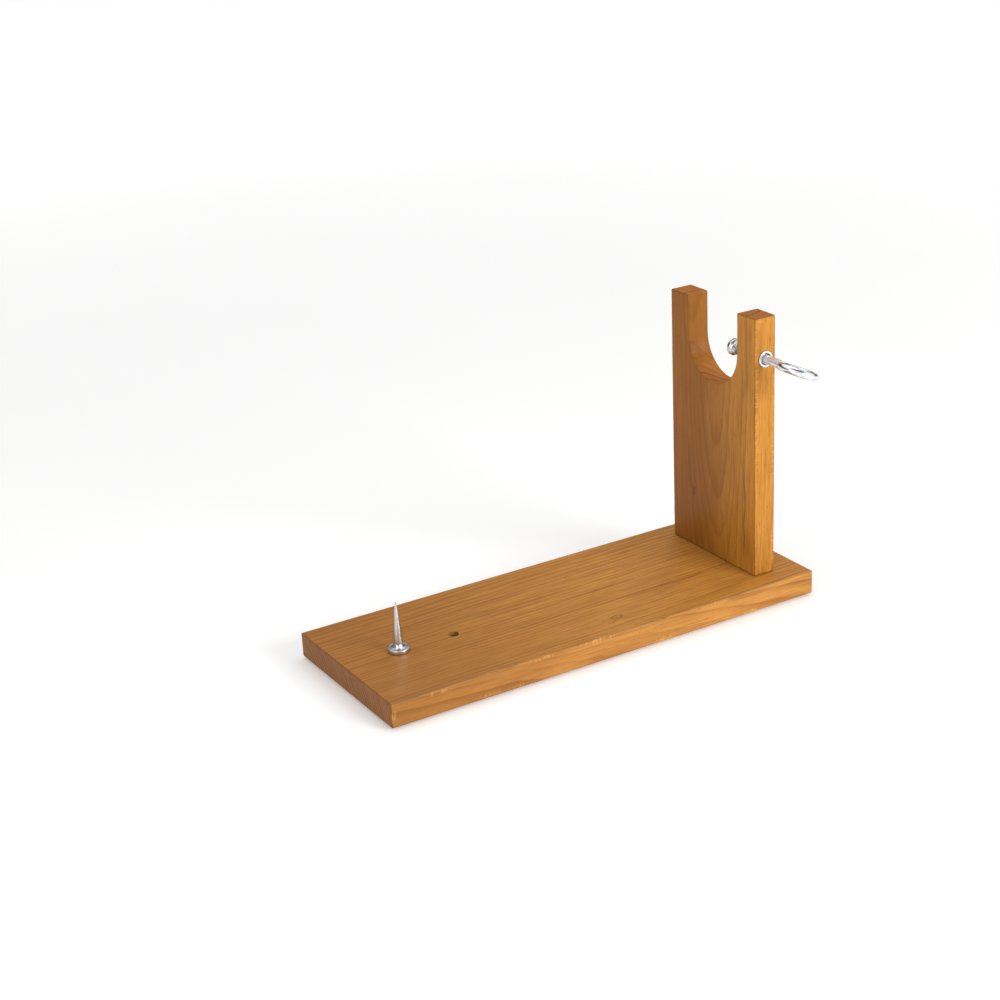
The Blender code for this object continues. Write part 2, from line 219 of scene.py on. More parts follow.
class Shader(Nodes):
    """A material with one Principled surface."""

    def __init__(self, name):
        self.material = bpy.data.materials.new(name)
        self.material.use_nodes = True
        super().__init__(self.material.node_tree)
        self.surface = self.tree.nodes["Principled BSDF"]

    def object_mm(self):
        """Object coordinates, in millimetres."""
        place = self.split(self.add("ShaderNodeTexCoord").outputs["Object"])
        return [self.math("MULTIPLY", value, 1.0 / MM) for value in place]

    def normal(self):
        """The surface's direction in the object's own axes."""
        return self.split(self.add("ShaderNodeTexCoord").outputs["Normal"])

    def bump(self, height, depth_mm, strength):
        made = self.add("ShaderNodeBump")
        made.inputs["Strength"].default_value = strength
        made.inputs["Distance"].default_value = depth_mm * MM
        self.feed(made.inputs["Height"], height)
        return made.outputs[0]

    def finish(self, **inputs):
        """Feed the surface's sockets, named with _ for a space, and return the material."""
        for name, value in inputs.items():
            self.feed(self.surface.inputs[name.replace("_", " ")], value)
        return self.material


# ---------------------------------------------------------------- wood

# Late wood across one ring: pale at first, darkest just before the next ring starts
RING_STOPS = [(0.0, 0.10), (0.10, 0.0), (0.45, 0.12), (0.78, 0.62), (0.93, 1.0), (1.0, 0.10)]
TICK_COLOUR = (0.84, 0.43, 0.11)


class Wood(Shader):
    """Stained softwood, in coordinates that follow the grain: along it, across it and deep."""

    def __init__(self, name, grain, seed):
        super().__init__(name)
        self.seed = seed
        self.position = self.object_mm()
        self.facing = self.normal()
        order = {"x": (0, 1, 2), "z": (2, 1, 0)}[grain]
        self.along, self.across, self.deep = (self.position[axis] for axis in order)
        end_facing = self.math("ABSOLUTE", self.facing[order[0]])
        self.on_end = self.ranged(end_facing, 0.55, 0.85)
        self.wave = self.centred(self.noise(self.grained(0.006, 0.022), 1.0, 2.0, 0.45))
        self.ripple = self.centred(self.noise(self.grained(0.035, 0.15), 1.0, 2.0, 0.5))
        self.broad = self.streaks(length=90.0, width=5.0, detail=3.0, shift=0.0)
        self.fine = self.streaks(length=22.0, width=0.55, detail=3.0, shift=7.0)

    def grained(self, along_scale, across_scale):
        """Coordinates with one scale along the grain and another across it."""
        return self.combine(
            self.math("MULTIPLY", self.along, along_scale),
            self.math("MULTIPLY_ADD", self.across, across_scale, self.seed),
            self.math("MULTIPLY", self.deep, across_scale),
        )

    def streaks(self, length, width, detail, shift):
        """Fibres: streaks along the grain, which are dots on the end grain."""
        place = self.combine(
            self.math("DIVIDE", self.along, length),
            self.math("MULTIPLY_ADD", self.across, 1.0 / width, self.seed + shift),
            self.math("DIVIDE", self.deep, width),
        )
        return self.noise(place, 1.0, detail, 0.55)

    def to_knot(self, place_along, place_across):
        """Distance to a knot, which is twice as long as it is wide."""
        knot_along = self.math("MULTIPLY", self.math("SUBTRACT", self.along, place_along), 0.5)
        return self.hypotenuse(knot_along, self.math("SUBTRACT", self.across, place_across))

    def to_edge(self, low, high):
        """Distance to the nearest edge, which is the second smallest distance to a face."""
        gaps = []
        half_in_mm = 0.5 / MM
        for value, start, stop in zip(self.position, low, high):
            off_middle = self.apart(value, (start + stop) * half_in_mm)
            gaps.append(self.math("SUBTRACT", (stop - start) * half_in_mm, off_middle))
        smaller = self.math("MINIMUM", gaps[0], gaps[1])
        larger = self.math("MAXIMUM", gaps[0], gaps[1])
        return self.math("MAXIMUM", smaller, self.math("MINIMUM", larger, gaps[2]))

    def late_wood(self, pith, slope, gap, strength, bulge):
        """Share of late wood in growth rings round the pith, bent by slow waves along the board."""
        centre_across = self.math("MULTIPLY_ADD", self.along, slope[0], pith[0])
        centre_deep = self.math("MULTIPLY_ADD", self.along, slope[1], pith[1])
        side = self.math("SUBTRACT", self.across, centre_across)
        rise = self.math("SUBTRACT", self.deep, centre_deep)
        radius = self.hypotenuse(side, rise)
        radius = self.math("MULTIPLY_ADD", self.wave, 8.0, radius)
        radius = self.math("MULTIPLY_ADD", self.ripple, 1.6, radius)
        radius = self.math("ADD", radius, bulge)
        slow = self.combine(self.math("MULTIPLY", radius, 0.06), self.seed, 0.0)
        uneven = self.noise(slow, 1.0, 1.0)
        turns = self.math("MULTIPLY_ADD", uneven, 2.0, self.math("DIVIDE", radius, gap))
        share = self.ramp(self.math("FRACT", turns), RING_STOPS)
        weight = self.noise(self.combine(self.math("FLOOR", turns), self.seed, 0.5), 0.73, 0.0)
        return self.math("MULTIPLY", share, self.ranged(weight, 0.25, 0.75, 0.25, strength))

    def side_colour(self, late_wood, early, late, painted_shadow_back, painted_shadow_along):
        """Stained colour along the fibres, with painted shadow darkening it towards the back and along
        the grain.
        """
        strokes = self.streaks(length=34.0, width=1.25, detail=2.0, shift=31.0)
        flares = self.streaks(length=55.0, width=11.0, detail=2.0, shift=43.0)
        blotch = self.noise(self.combine(self.along, self.across, self.deep), 0.021, 3.0, 0.6)
        colour = self.mix(late_wood, early, late)
        colour = self.toned(colour, self.ranged(self.broad, 0.25, 0.75, 0.86, 1.10, smooth=False))
        colour = self.toned(colour, self.ranged(self.fine, 0.25, 0.75, 0.80, 1.13, smooth=False))
        colour = self.mix(self.ranged(flares, 0.26, 0.50, 0.45, 0.0), colour, scaled(early, 1.15))
        colour = self.mix(self.ranged(blotch, 0.3, 0.7, 0.0, 0.30), colour, scaled(early, 0.62))

        darker = tuple(late_value / early_value for late_value, early_value in zip(late, early))
        # Painted shadow: darker towards the back along Y, and towards one end along the grain.
        shadow_back_at = self.math("MULTIPLY_ADD", self.centred(self.broad), 50.0, self.position[1])
        shadow_along_at = self.math("MULTIPLY_ADD", self.centred(blotch), 160.0, self.along)
        for place, (start, darkest, depth) in ((shadow_back_at, painted_shadow_back), (shadow_along_at, painted_shadow_along)):
            share = self.ranged(place, start, darkest, 0.0, depth)
            colour = self.mix(share, colour, darker, "MULTIPLY")
        colour = self.mix(self.ranged(strokes, 0.54, 0.68, 0.0, 0.50), colour, late)
        return self.mix(self.ranged(flares, 0.52, 0.74, 0.0, 0.36), colour, late)

    def with_knot(self, colour, late, to_knot, radius):
        """Add a small knot with a dark rim."""
        rim = self.ranged(self.apart(to_knot, radius), 0.1, 0.9, 0.55, 0.0)
        colour = self.mix(self.ranged(to_knot, 0.2, radius, 0.45, 0.0), colour, late)
        return self.mix(rim, colour, scaled(late, 0.4))

    def with_dark_line(self, colour, late, place, start, stop):
        """Add a dark line along the grain, which fades towards its ends."""
        off_place = self.math("SUBTRACT", self.across, place)
        off_line = self.math("ABSOLUTE", self.math("MULTIPLY_ADD", self.ripple, 5.0, off_place))
        off_middle = self.apart(self.along, (start + stop) / 2)
        in_reach = self.ranged(off_middle, (stop - start) * 0.25, (stop - start) * 0.5, 1.0, 0.0)
        share = self.math("MULTIPLY", self.ranged(off_line, 0.1, 1.5, 0.60, 0.0), in_reach)
        return self.mix(share, colour, scaled(late, 0.5))

    def sawn(self):
        """The saw's marks across the end grain."""
        slanted = self.math("MULTIPLY_ADD", self.deep, 2.1, self.math("MULTIPLY", self.across, 3.2))
        place = self.combine(slanted, self.math("MULTIPLY", self.across, 0.05), self.seed)
        return self.noise(place, 1.0, 2.0)

    def with_end_grain(self, colour, end_tone, late_wood, sawn):
        """Colour the end grain, which drinks more stain and shows its rings and the saw's marks."""
        rings = self.ranged(late_wood, 0.05, 0.45, 0.0, 0.85)
        end_colour = self.mix(rings, end_tone, scaled(end_tone, 0.50))
        end_colour = self.toned(end_colour, self.ranged(sawn, 0.3, 0.7, 0.72, 1.18, smooth=False))
        return self.mix(self.on_end, colour, end_colour)

    def with_arrises(self, colour, late, to_edge):
        """Darken the eased edges, unevenly."""
        worn = self.math("MULTIPLY_ADD", self.centred(self.fine), 1.6, to_edge)
        return self.mix(self.ranged(worn, 0.10, 1.2, 0.58, 0.0), colour, scaled(late, 0.42))

    def with_ticks(self, colour, to_edge):
        """Add light ticks by the front arrises, where the planer met curly fibres."""
        ticks = self.ranged(self.noise(self.grained(0.78, 0.12), 1.0, 0.0), 0.46, 0.66)
        patches = self.streaks(length=42.0, width=9.0, detail=1.0, shift=21.0)
        here = self.math("MULTIPLY", ticks, self.ranged(patches, 0.50, 0.62))
        near = self.ranged(to_edge, 1.0, 5.5, 1.0, 0.0)
        front = self.ranged(self.facing[1], -0.9, -0.6, 0.34, 0.0)
        share = self.math("MULTIPLY", here, self.math("MULTIPLY", near, front))
        return self.mix(share, colour, TICK_COLOUR)


def wood(
    name, grain, low, high, pith, slope, ring_gap, ring_strength, early, late, end_tone, painted_shadow_back, painted_shadow_along,
    knot, streak, gloss, seed
):
    """Stained softwood. grain is the axis that the fibres follow, low and high are the board's
    corners, pith is where the tree's middle lies across the grain, in millimetres, and slope how
    far it wanders for each millimetre along it. ring_gap is a ring's width, and ring_strength how
    strongly its late wood shows. early and late are the colours of the two kinds of wood in a ring,
    and end_tone that of the end grain. The two arguments after end_tone are painted shadow: each
    says where it starts and where it is darkest, and how dark it is, the first along Y and the
    second along the grain. knot is its place along and across the grain and its radius. streak is
    a dark line's place across the grain and where along it the line starts and stops."""
    board = Wood(name, grain, seed)
    knot_along, knot_across, knot_radius = knot
    to_knot = board.to_knot(knot_along, knot_across)
    bulge = board.ranged(to_knot, 0.0, 5.0 * knot_radius, 2.2 * knot_radius, 0.0)
    late_wood = board.late_wood(pith, slope, ring_gap, ring_strength, bulge)
    dashes = board.streaks(length=7.0, width=0.42, detail=1.0, shift=13.0)
    pores = board.math("MULTIPLY", board.ranged(dashes, 0.66, 0.74), 0.60)
    sawn = board.sawn()
    to_edge = board.to_edge(low, high)

    colour = board.side_colour(late_wood, early, late, painted_shadow_back, painted_shadow_along)
    colour = board.with_knot(colour, late, to_knot, knot_radius)
    colour = board.with_dark_line(colour, late, *streak)
    colour = board.mix(pores, colour, scaled(late, 0.25))
    colour = board.with_end_grain(colour, end_tone, late_wood, sawn)
    colour = board.with_arrises(colour, late, to_edge)
    colour = board.with_ticks(colour, to_edge)

    height = board.math("MULTIPLY_ADD", late_wood, 0.5, board.math("MULTIPLY", board.fine, 0.6))
    height = board.math("SUBTRACT", height, board.math("MULTIPLY", pores, 0.8))
    height = board.math("MULTIPLY_ADD", board.math("MULTIPLY", sawn, board.on_end), 1.2, height)
    rough = board.math("MULTIPLY_ADD", board.fine, 0.20, 0.32)
    rough = board.math("MULTIPLY_ADD", board.on_end, 0.18, rough)
    return board.finish(
        Base_Color=colour,
        Roughness=rough,
        Normal=board.bump(height, 0.10, 0.55),
        Specular_IOR_Level=gloss,
    )


def beech(name):
    """Pale beech with short dark flecks along the dowel."""
    shader = Shader(name)
    place = shader.object_mm()
    streak = shader.noise(shader.stretch(place, (2.2, 2.2, 0.12)), 1.0, 3.0, 0.55)
    fleck = shader.noise(shader.stretch(place, (3.4, 3.4, 0.55)), 1.0, 1.0)
    fleck = shader.math("MULTIPLY", shader.ranged(fleck, 0.64, 0.72), 0.6)
    colour = shader.mix(streak, (0.56, 0.36, 0.19), (0.70, 0.50, 0.30))
    return shader.finish(
        Base_Color=shader.mix(fleck, colour, (0.25, 0.12, 0.05)),
        Roughness=0.62,
        Normal=shader.bump(streak, 0.08, 0.5),
    )


# ---------------------------------------------------------------- metal and rubber


def plated(name, colour, roughness, brushed, seed, axis="y", satin=None):
    """Bright metal with faint turning marks round an axis, a little grime and small marks. brushed
    is how closely the turning marks lie. satin is where along the axis it starts to dull and where
    it is dull, and how much rougher it is there."""
    shader = Shader(name)
    x, y, z = shader.object_mm()
    place = shader.combine(x, y, z)
    if axis == "z":
        y, z = z, y
    cloud = shader.noise(place, 0.35, 3.0, 0.6)
    round_axis = shader.combine(
        shader.math("MULTIPLY", x, 0.35),
        shader.math("MULTIPLY_ADD", y, brushed, seed),
        shader.math("MULTIPLY", z, 0.35),
    )
    lines = shader.noise(round_axis, 1.0, 3.0)
    pits = shader.ranged(shader.noise(place, 2.4, 2.0, 0.7), 0.66, 0.74)
    tone = shader.mix(shader.ranged(cloud, 0.35, 0.7), colour, scaled(colour, 0.86))
    tone = shader.mix(shader.math("MULTIPLY", pits, 0.35), tone, scaled(colour, 0.45))
    rough = shader.math("MULTIPLY_ADD", cloud, 0.10, roughness - 0.05)
    rough = shader.math("MULTIPLY_ADD", lines, 0.06, rough)
    metallic = 1.0
    if satin:
        start, stop, rougher = satin
        rough = shader.math("ADD", rough, shader.ranged(y, start, stop, 0.0, rougher))
        metallic = shader.ranged(y, start, stop, 0.97, 0.58)
    height = shader.math("SUBTRACT", shader.math("MULTIPLY", lines, 0.5), pits)
    return shader.finish(
        Base_Color=tone,
        Metallic=metallic,
        Roughness=rough,
        Normal=shader.bump(height, 0.004, 0.4),
    )


def rubber(name):
    """Dull black rubber with a fine moulded grain and dust in patches."""
    shader = Shader(name)
    place = shader.combine(*shader.object_mm())
    grain = shader.noise(place, 3.5, 3.0, 0.6)
    dust = shader.ranged(shader.noise(place, 0.4, 3.0, 0.6), 0.45, 0.8, 0.0, 0.5)
    return shader.finish(
        Base_Color=shader.mix(dust, (0.018, 0.018, 0.019), (0.075, 0.070, 0.064)),
        Roughness=shader.math("MULTIPLY_ADD", grain, 0.2, 0.62),
        Normal=shader.bump(grain, 0.05, 0.6),
    )


# ---------------------------------------------------------------- stage


def floor():
    """Pale, slightly glossy floor, large enough to fill the view, which glows a little more far
    from the stand."""
    mesh = bpy.data.meshes.new("floor")
    shape = bmesh.new()
    bmesh.ops.create_grid(shape, x_segments=1, y_segments=1, size=FLOOR_REACH)
    shape.to_mesh(mesh)
    shape.free()
    plane = bpy.data.objects.new("floor", mesh)
    bpy.context.scene.collection.objects.link(plane)
    shader = Shader("floor_white")
    x, y, z = shader.object_mm()
    faint = shader.noise(shader.combine(x, y, z), 0.004, 2.0)
    far = shader.ranged(shader.hypotenuse(x, y), 500.0, 2600.0)
    mesh.materials.append(
        shader.finish(
            Base_Color=shader.mix(faint, *FLOOR_COLOURS),
            Roughness=0.30,
            Specular_IOR_Level=0.2,
            Emission_Color=(1.0, 1.0, 1.0),
            Emission_Strength=shader.math("MULTIPLY_ADD", far, 0.40, 0.19),
        )
    )


def soft_box(name, place, aim, size, power):
    """Rectangular studio light, turned to face a point."""
    light = bpy.data.lights.new(name, "AREA")
    light.shape = "RECTANGLE"
    light.size, light.size_y = size
    light.energy = power
    lamp = bpy.data.objects.new(name, light)
    bpy.context.scene.collection.objects.link(lamp)
    lamp.location = place
    lamp.rotation_euler = (Vector(aim) - Vector(place)).to_track_quat("-Z", "Y").to_euler()


def tent():
    """White tent round the stand. Bright metal mirrors a dark band at the tent's foot, which rises
    towards the back."""
    world = bpy.data.worlds.new("tent")
    bpy.context.scene.world = world
    world.use_nodes = True
    nodes = Nodes(world.node_tree)
    towards = nodes.add("ShaderNodeVectorMath", operation="DOT_PRODUCT")
    nodes.feed_all(towards, (nodes.add("ShaderNodeTexCoord").outputs["Generated"], (0.0, -0.15, 0.40)))
    band = nodes.ramp(
        nodes.math("ADD", towards.outputs["Value"], 0.5),
        [(0.34, 0.30), (0.42, 0.02), (0.565, 0.02), (0.61, 0.90), (0.80, 1.0), (0.90, 0.15)],
    )
    soft = world.node_tree.nodes["Background"]
    mirrored = nodes.add("ShaderNodeBackground")
    white = nodes.add("ShaderNodeBackground")
    nodes.feed(soft.inputs["Color"], (0.56, 0.56, 0.56))
    nodes.feed_all(mirrored, (band, 1.1))
    nodes.feed(white.inputs["Color"], (1.0, 1.0, 1.0))
    seen = nodes.add("ShaderNodeLightPath").outputs
    last = soft.outputs[0]
    for kind, other in (("Is Glossy Ray", mirrored), ("Is Camera Ray", white)):
        last = nodes.feed_all(nodes.add("ShaderNodeMixShader"), (seen[kind], last, other.outputs[0]))
    nodes.feed(world.node_tree.nodes["World Output"].inputs["Surface"], last)


def studio():
    """Soft lights from the front right, the front left and above, in a white tent."""
    soft_box("key", place=(0.95, -2.1, 1.0), aim=(0.05, 0.0, 0.08), size=(1.3, 1.0), power=41.5)
    soft_box("fill", place=(-1.9, -0.7, 0.9), aim=(0.0, 0.0, 0.1), size=(1.2, 1.2), power=9.5)
    soft_box("top", place=(0.30, 0.45, 1.9), aim=(0.05, 0.0, 0.0), size=(1.6, 1.2), power=10.0)
    tent()
    bpy.context.scene.view_settings.view_transform = "Standard"


def camera():
    """Camera round the aim point, level and then rolled."""
    lens = bpy.data.cameras.new("camera")
    lens.lens = LENS
    lens.sensor_width = SENSOR
    lens.clip_start, lens.clip_end = NEAREST, FARTHEST
    made = bpy.data.objects.new("camera", lens)
    bpy.context.scene.collection.objects.link(made)
    level_reach = cos(ELEVATION)
    back = Vector((sin(AZIMUTH) * level_reach, -cos(AZIMUTH) * level_reach, sin(ELEVATION)))
    made.location = AIM + back * DISTANCE
    level = (-back).to_track_quat("-Z", "Y").to_matrix()
    made.rotation_euler = (level @ Matrix.Rotation(ROLL, 3, "Z")).to_euler()
    bpy.context.scene.camera = made


# ---------------------------------------------------------------- meshes


def grid_mesh(name, rows, closed):
    """Mesh from rows of points, each row a ring. A closed grid joins its last row to its first, and
    an open one is closed by a point in the middle of each end row."""
    mesh = bpy.data.meshes.new(name)
    shape = bmesh.new()
    rings = [[shape.verts.new(point) for point in row] for row in rows]
    pairs = list(zip(rings, rings[1:]))
    if closed:
        pairs.append((rings[-1], rings[0]))
    for above, below in pairs:
        for index in range(len(above)):
            after = (index + 1) % len(above)
            shape.faces.new((above[index], below[index], below[after], above[after]))
    if not closed:
        for ring, turned_over in ((rings[0], False), (rings[-1], True)):
            centre = sum((vertex.co for vertex in ring), Vector()) / len(ring)
            pole = shape.verts.new(centre)
            for index in range(len(ring)):
                corners = (ring[index], ring[(index + 1) % len(ring)], pole)
                shape.faces.new(corners[::-1] if turned_over else corners)
    bmesh.ops.recalc_face_normals(shape, faces=shape.faces)
    shape.to_mesh(mesh)
    shape.free()
    mesh.shade_smooth()
    return mesh


def turned_rows(profile, steps):
    """Rings of points round +Z, from (height, radius) pairs in millimetres. A radius may be a
    function of height and angle."""
    rows = []
    for height, radius in profile:
        row = []
        for step in range(steps):
            angle = 2 * pi * step / steps
            reach = radius(height, angle) if callable(radius) else radius
            row.append(Vector((reach * cos(angle), reach * sin(angle), height)) * MM)
        rows.append(row)
    return rows


def thread(root, crest, pitch, start, end, runout):
    """Radius of a right-hand helical thread between two heights, running out smoothly at its ends."""

    def radius(height, angle):
        phase = (height / pitch - angle / (2 * pi)) % 1.0
        flank = min(max((abs(2 * phase - 1) - ROOT_FLAT) / FLANK, 0.0), 1.0)
        fade = min(max(min(height - start, end - height) / runout, 0.0), 1.0)
        return root + (crest - root) * flank * fade

    return radius


def levels(start, end, spacing):
    """Evenly spaced heights or angles from one to another, both included."""
    count = max(1, round(abs(end - start) / spacing))
    return [start + (end - start) * index / count for index in range(count + 1)]


def rounded(height, radius, corner, upper=True, steps=4):
    """Profile points down round an outer corner whose sharp point lies at this height and radius."""
    points = []
    for step in range(steps + 1):
        turn = pi / 2 * step / steps
        if upper:
            points.append((height - corner * (1 - cos(turn)), radius - corner * (1 - sin(turn))))
        else:
            points.append((height + corner * (1 - sin(turn)), radius - corner * (1 - cos(turn))))
    return points


def stand_for(node, name, mesh, body, material):
    """Add a piece that stands for a CAD node and moves with its body."""
    piece = bpy.data.objects.new(name, mesh)
    bpy.context.scene.collection.objects.link(piece)
    mesh.materials.clear()
    mesh.materials.append(material)
    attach(piece, body)
    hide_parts(node)


def boolean(mesh, other, operation):
    """Join two meshes, or cut the second from the first, and keep the result as a mesh."""
    kept, tool = (bpy.data.objects.new(each.name, each) for each in (mesh, other))
    for each in (kept, tool):
        bpy.context.scene.collection.objects.link(each)
    modifier = kept.modifiers.new("Boolean", "BOOLEAN")
    modifier.operation = operation
    modifier.solver = "EXACT"
    modifier.object = tool
    graph = bpy.context.evaluated_depsgraph_get()
    made = bpy.data.meshes.new_from_object(kept.evaluated_get(graph))
    made.name = mesh.name
    for each in (kept, tool):
        bpy.data.objects.remove(each)
    made.shade_smooth()
    made.set_sharp_from_angle(angle=CUT_CREASE)
    return made


def clamp_frame():
    """Place on the clamp's axis for a turned mesh, its +Z pointing out of the upright's front edge."""
    return Matrix.Translation((POST_X, FRONT_Y, CLAMP_Z)) @ Matrix.Rotation(pi / 2, 4, "X")


def standing_at(low, high, height):
    """Place for a turned mesh in the middle of a box, at a height, its +Z up."""
    return Matrix.Translation(((low.x + high.x) / 2, (low.y + high.y) / 2, height))


# ---------------------------------------------------------------- turned pieces


def eye_bolt():
    """Bolt with a helical thread, a ball end, a plain shank and a closed round eye."""
    shank_end = (FRONT_Y - bolt_low.y) / MM - 2 * EYE_RADIUS
    ball_at = (FRONT_Y - bolt_high.y) / MM + BALL
    cut = thread(BOLT_ROOT, BOLT_CREST, PITCH, THREAD_BOTTOM, THREAD_TOP, runout=PITCH)
    profile = [(ball_at + BALL * sin(turn), BALL * cos(turn)) for turn in levels(-1.50, 0.80, 0.12)]
    profile += [(ball_at + 2.4, NECK), (-31.9, NECK), (-31.6, 1.95), (-30.7, 3.2)]
    profile += [(height, cut) for height in levels(THREAD_BOTTOM, THREAD_TOP, 0.104)]
    profile += [(1.1, 3.5), (1.4, SHANK)]
    profile += [(height, SHANK) for height in levels(2.5, shank_end - 2.2, 2.0)]
    profile += [(shank_end - 1.75, SHANK - 0.05), (shank_end - 1.4, SHANK - 0.25)]
    profile += [(shank_end + 1.2, SHANK - 0.8), (shank_end + WIRE, 2.3)]
    rod = grid_mesh("eye_bolt", turned_rows(profile, steps=48), closed=False)

    rows = []
    for step in range(EYE_STEPS):
        turn = 2 * pi * step / EYE_STEPS
        row = []
        for part in range(WIRE_STEPS):
            angle = 2 * pi * part / WIRE_STEPS
            reach = EYE_RADIUS - WIRE + WIRE * cos(angle)
            spot = Vector((reach * cos(turn), WIRE * sin(angle), reach * sin(turn)))
            row.append((spot + Vector((0, 0, shank_end + EYE_RADIUS))) * MM)
        rows.append(row)
    eye = grid_mesh("eye", rows, closed=True)
    mesh = boolean(rod, eye, "UNION")
    mesh.transform(clamp_frame() @ Matrix.Rotation(-EYE_TILT, 4, "Z"))
    return mesh


def hexagon(half_width):
    """Radius of a hexagonal hole, its corners eased."""

    def radius(_, angle):
        turn = (angle + pi / 6) % (pi / 3) - pi / 6
        return min(half_width / cos(turn), half_width / cos(pi / 6) - DRIVE_EASING)

    return radius


def threaded_insert():
    """Flanged insert: coarse thread outside, hexagon drive and M8 thread inside."""
    top = (FRONT_Y - insert_low.y) / MM
    bottom = (FRONT_Y - insert_high.y) / MM
    under = FLANGE_UNDER
    drive_end = top - DRIVE_DEPTH
    drive = hexagon(DRIVE_HALF_WIDTH)
    mouth = hexagon(DRIVE_HALF_WIDTH + DRIVE_CHAMFER)
    outside = thread(INSERT_ROOT, INSERT_CREST, INSERT_PITCH, bottom, under - 0.3, runout=1.0)
    inside = thread(BORE_ROOT, BORE_CREST, PITCH, bottom, drive_end, runout=0.8)
    profile = [(top, mouth), (top, 5.9)]
    profile += rounded(top, FLANGE, 0.32)
    profile += [(under + 0.1, FLANGE), (under, FLANGE - 0.1), (under, 5.75)]
    profile += [(height, outside) for height in levels(under - 0.25, bottom + 0.3, 0.17)]
    profile += [(bottom, 5.4), (bottom, 4.6)]
    profile += [(height, inside) for height in levels(bottom + 0.3, drive_end - 0.1, 0.11)]
    profile += [(drive_end, 4.32), (drive_end, drive), (top - DRIVE_CHAMFER, drive)]
    mesh = grid_mesh("threaded_insert", turned_rows(profile, steps=72), closed=True)
    mesh.set_sharp_from_angle(angle=TURNED_CREASE)
    mesh.transform(clamp_frame())
    return mesh


def pressure_pad():
    """Swivelling cup: a collar crimped round the ball, a flared skirt and a ringed contact face."""
    mouth = (FRONT_Y - press_low.y) / MM
    face = (FRONT_Y - press_high.y) / MM
    profile = [(mouth, BALL), *rounded(mouth, PAD_COLLAR, 0.35)]
    profile += [(mouth - 1.1, PAD_COLLAR), (mouth - 1.25, 5.0), (mouth - 1.55, 5.0)]
    profile += [(mouth - 1.7, PAD_COLLAR), (mouth - 3.1, PAD_COLLAR), (mouth - 3.5, 5.32)]
    profile += [(mouth - 4.2, 6.1), (mouth - 4.8, 6.62), (mouth - 5.1, 6.78), (mouth - 5.5, PAD_FACE)]
    profile += [(face + 0.7, PAD_FACE), (face + 0.35, 6.7), (face + 0.1, 6.45), (face, 6.1), (face, 5.2)]
    profile += [(face + 0.25, 5.0), (face + 0.25, 4.5), (face, 4.3), (face, 3.2)]
    profile += [(face + 0.25, 3.0), (face + 0.25, 2.5), (face, 2.3), (face, 0.4)]
    solid = grid_mesh("pressure_pad", turned_rows(profile, steps=64), closed=False)
    hollow = [(mouth + 1.0, BALL), (mouth - 0.2, 2.35), (mouth - 0.9, 2.35), (mouth - 2.2, PAD_SOCKET)]
    hollow += [(mouth - 5.8, PAD_SOCKET), (mouth - 6.1, 2.8), (mouth - 6.2, 2.4)]
    socket = grid_mesh("socket", turned_rows(hollow, steps=64), closed=False)
    mesh = boolean(solid, socket, "DIFFERENCE")
    mesh.transform(clamp_frame())
    return mesh


def ham_spike():
    """Turned spike with a grooved foot, a collar with a ring cut in it, and a plain stem."""
    tip = (spike_high.z - base_high.z) / MM
    stem = (spike_low.z - base_high.z) / MM
    low, high = COLLAR_LOW, COLLAR_HIGH
    profile = [(tip, 0.05), (tip - 0.15, 0.28), (tip - 0.5, 0.45)]
    for height in levels(tip - 0.9, high + 3.4, 1.5):
        rise = (height - high - 0.8) / (tip - high - 0.8)
        swell = SPIKE_STEM * (1 - rise) ** 0.86 + 0.42 * rise
        profile.append((height, min(swell, SPIKE_STEM - 0.01)))
    profile += [(high + 3.0, 3.55), (high + 2.6, 3.35), (high + 2.2, 3.55), (high + 1.9, 3.75)]
    profile += [(high + 0.6, 3.85), (high + 0.25, 4.1), (high, 4.6), (high, 6.6)]
    profile += [(high - 0.12, 6.75), (high - 0.12, 7.2), (high, 7.35), *rounded(high, COLLAR, 0.5)]
    profile += [*rounded(low, COLLAR, 0.3, upper=False), (low, SPIKE_STEM)]
    profile += [(low - 0.5, 3.9), (low - 1.2, SPIKE_STEM)]
    profile += [(height, SPIKE_STEM) for height in levels(-2.0, stem + 0.9, 3.0)]
    profile += [(stem + 0.5, 3.95), (stem + 0.1, 3.6), (stem, 3.3)]
    mesh = grid_mesh("ham_spike", turned_rows(profile, steps=56), closed=False)
    mesh.set_sharp_from_angle(angle=TURNED_CREASE)
    mesh.transform(standing_at(spike_low, spike_high, base_high.z))
    return mesh


def wood_screw(node):
    """Countersunk wood screw with a cross recess and a helical thread."""
    low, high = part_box(node)
    length = (high.z - low.z) / MM
    thread_start, thread_end = length - SCREW_THREAD_START, length - SCREW_THREAD_END
    cut = thread(SCREW_ROOT, SCREW_CREST, SCREW_PITCH, thread_start, thread_end, runout=1.6)
    profile = [(0.0, 0.4), (0.0, 4.5), (0.12, 4.72), (0.35, 4.8), (0.6, 4.7), (3.2, 2.1)]
    profile += [(3.6, SCREW_SHANK)]
    profile += [(height, SCREW_SHANK) for height in levels(5.0, length - 40.6, 2.4)]
    profile += [(height, cut) for height in levels(thread_start, thread_end, 0.2)]
    profile += [(length - 1.6, 0.9), (length - 0.3, 0.15)]
    mesh = grid_mesh(node, turned_rows(profile, steps=32), closed=False)
    for turn in (pi / 4, 3 * pi / 4):
        blade = bpy.data.meshes.new("blade")
        shape = bmesh.new()
        bmesh.ops.create_cube(shape, size=1.0)
        for corner in shape.verts:
            x, y, z = corner.co
            inner = BLADE_TAPER if z > 0 else 1.0
            corner.co = Vector((x * BLADE_LENGTH * inner, y * BLADE_WIDTH, z * BLADE_DEPTH)) * MM
        bmesh.ops.rotate(shape, matrix=Matrix.Rotation(turn, 3, "Z"), verts=shape.verts)
        shape.to_mesh(blade)
        shape.free()
        mesh = boolean(mesh, blade, "DIFFERENCE")
    mesh.transform(standing_at(low, high, low.z))
    return mesh


